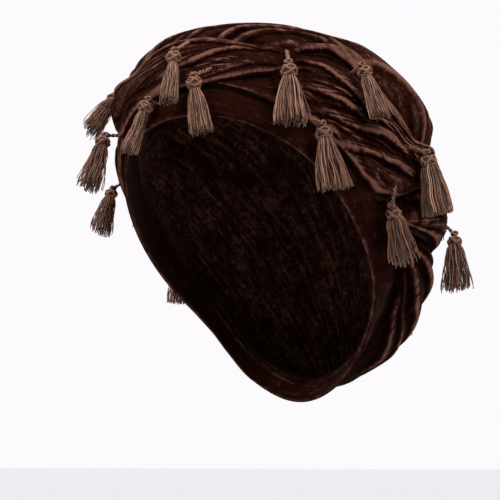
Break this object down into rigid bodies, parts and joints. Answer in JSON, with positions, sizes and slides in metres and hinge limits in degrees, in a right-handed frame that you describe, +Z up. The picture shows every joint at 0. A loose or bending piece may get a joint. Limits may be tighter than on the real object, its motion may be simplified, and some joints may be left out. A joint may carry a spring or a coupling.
{
  "type": "turban",
  "caption": "Soft velvet turban in its worn form: a smooth headband, a pleated twisted wrap, a loose gathered crown bag and hanging yarn tassels round an open head hollow.",
  "frame": {"origin": "middle of the head hollow at the head's largest girth, where the turban is held on the head", "axes": "+Z up, the face opening looks along -Y, +X is the wearer's left"},
  "size_m": [0.2508, 0.2582, 0.2349],
  "materials": {
    "velvet": "crushed velvet, dark in the folds with a soft bright edge where the nap is seen at a low angle",
    "band_velvet": "smooth velvet with a short nap",
    "yarn": "twisted silky yarn"
  },
  "bodies": {
    "root": {"headband": "band_velvet", "crown": "velvet", "wrap_swathe_front": "velvet", "wrap_swathe_left": "velvet", "wrap_swathe_right": "velvet", "wrap_swathe_back_left": "velvet", "wrap_swathe_back_right": "velvet", "wrap_swathe_back": "velvet", "tassel_01": "yarn", "tassel_02": "yarn", "tassel_03": "yarn", "tassel_04": "yarn", "tassel_05": "yarn", "tassel_06": "yarn", "tassel_07": "yarn", "tassel_08": "yarn", "tassel_09": "yarn", "tassel_10": "yarn", "tassel_11": "yarn", "tassel_12": "yarn", "tassel_13": "yarn", "tassel_14": "yarn", "tassel_15": "yarn", "tassel_16": "yarn", "tassel_17": "yarn", "tassel_18": "yarn"}
  },
  "joints": []
}
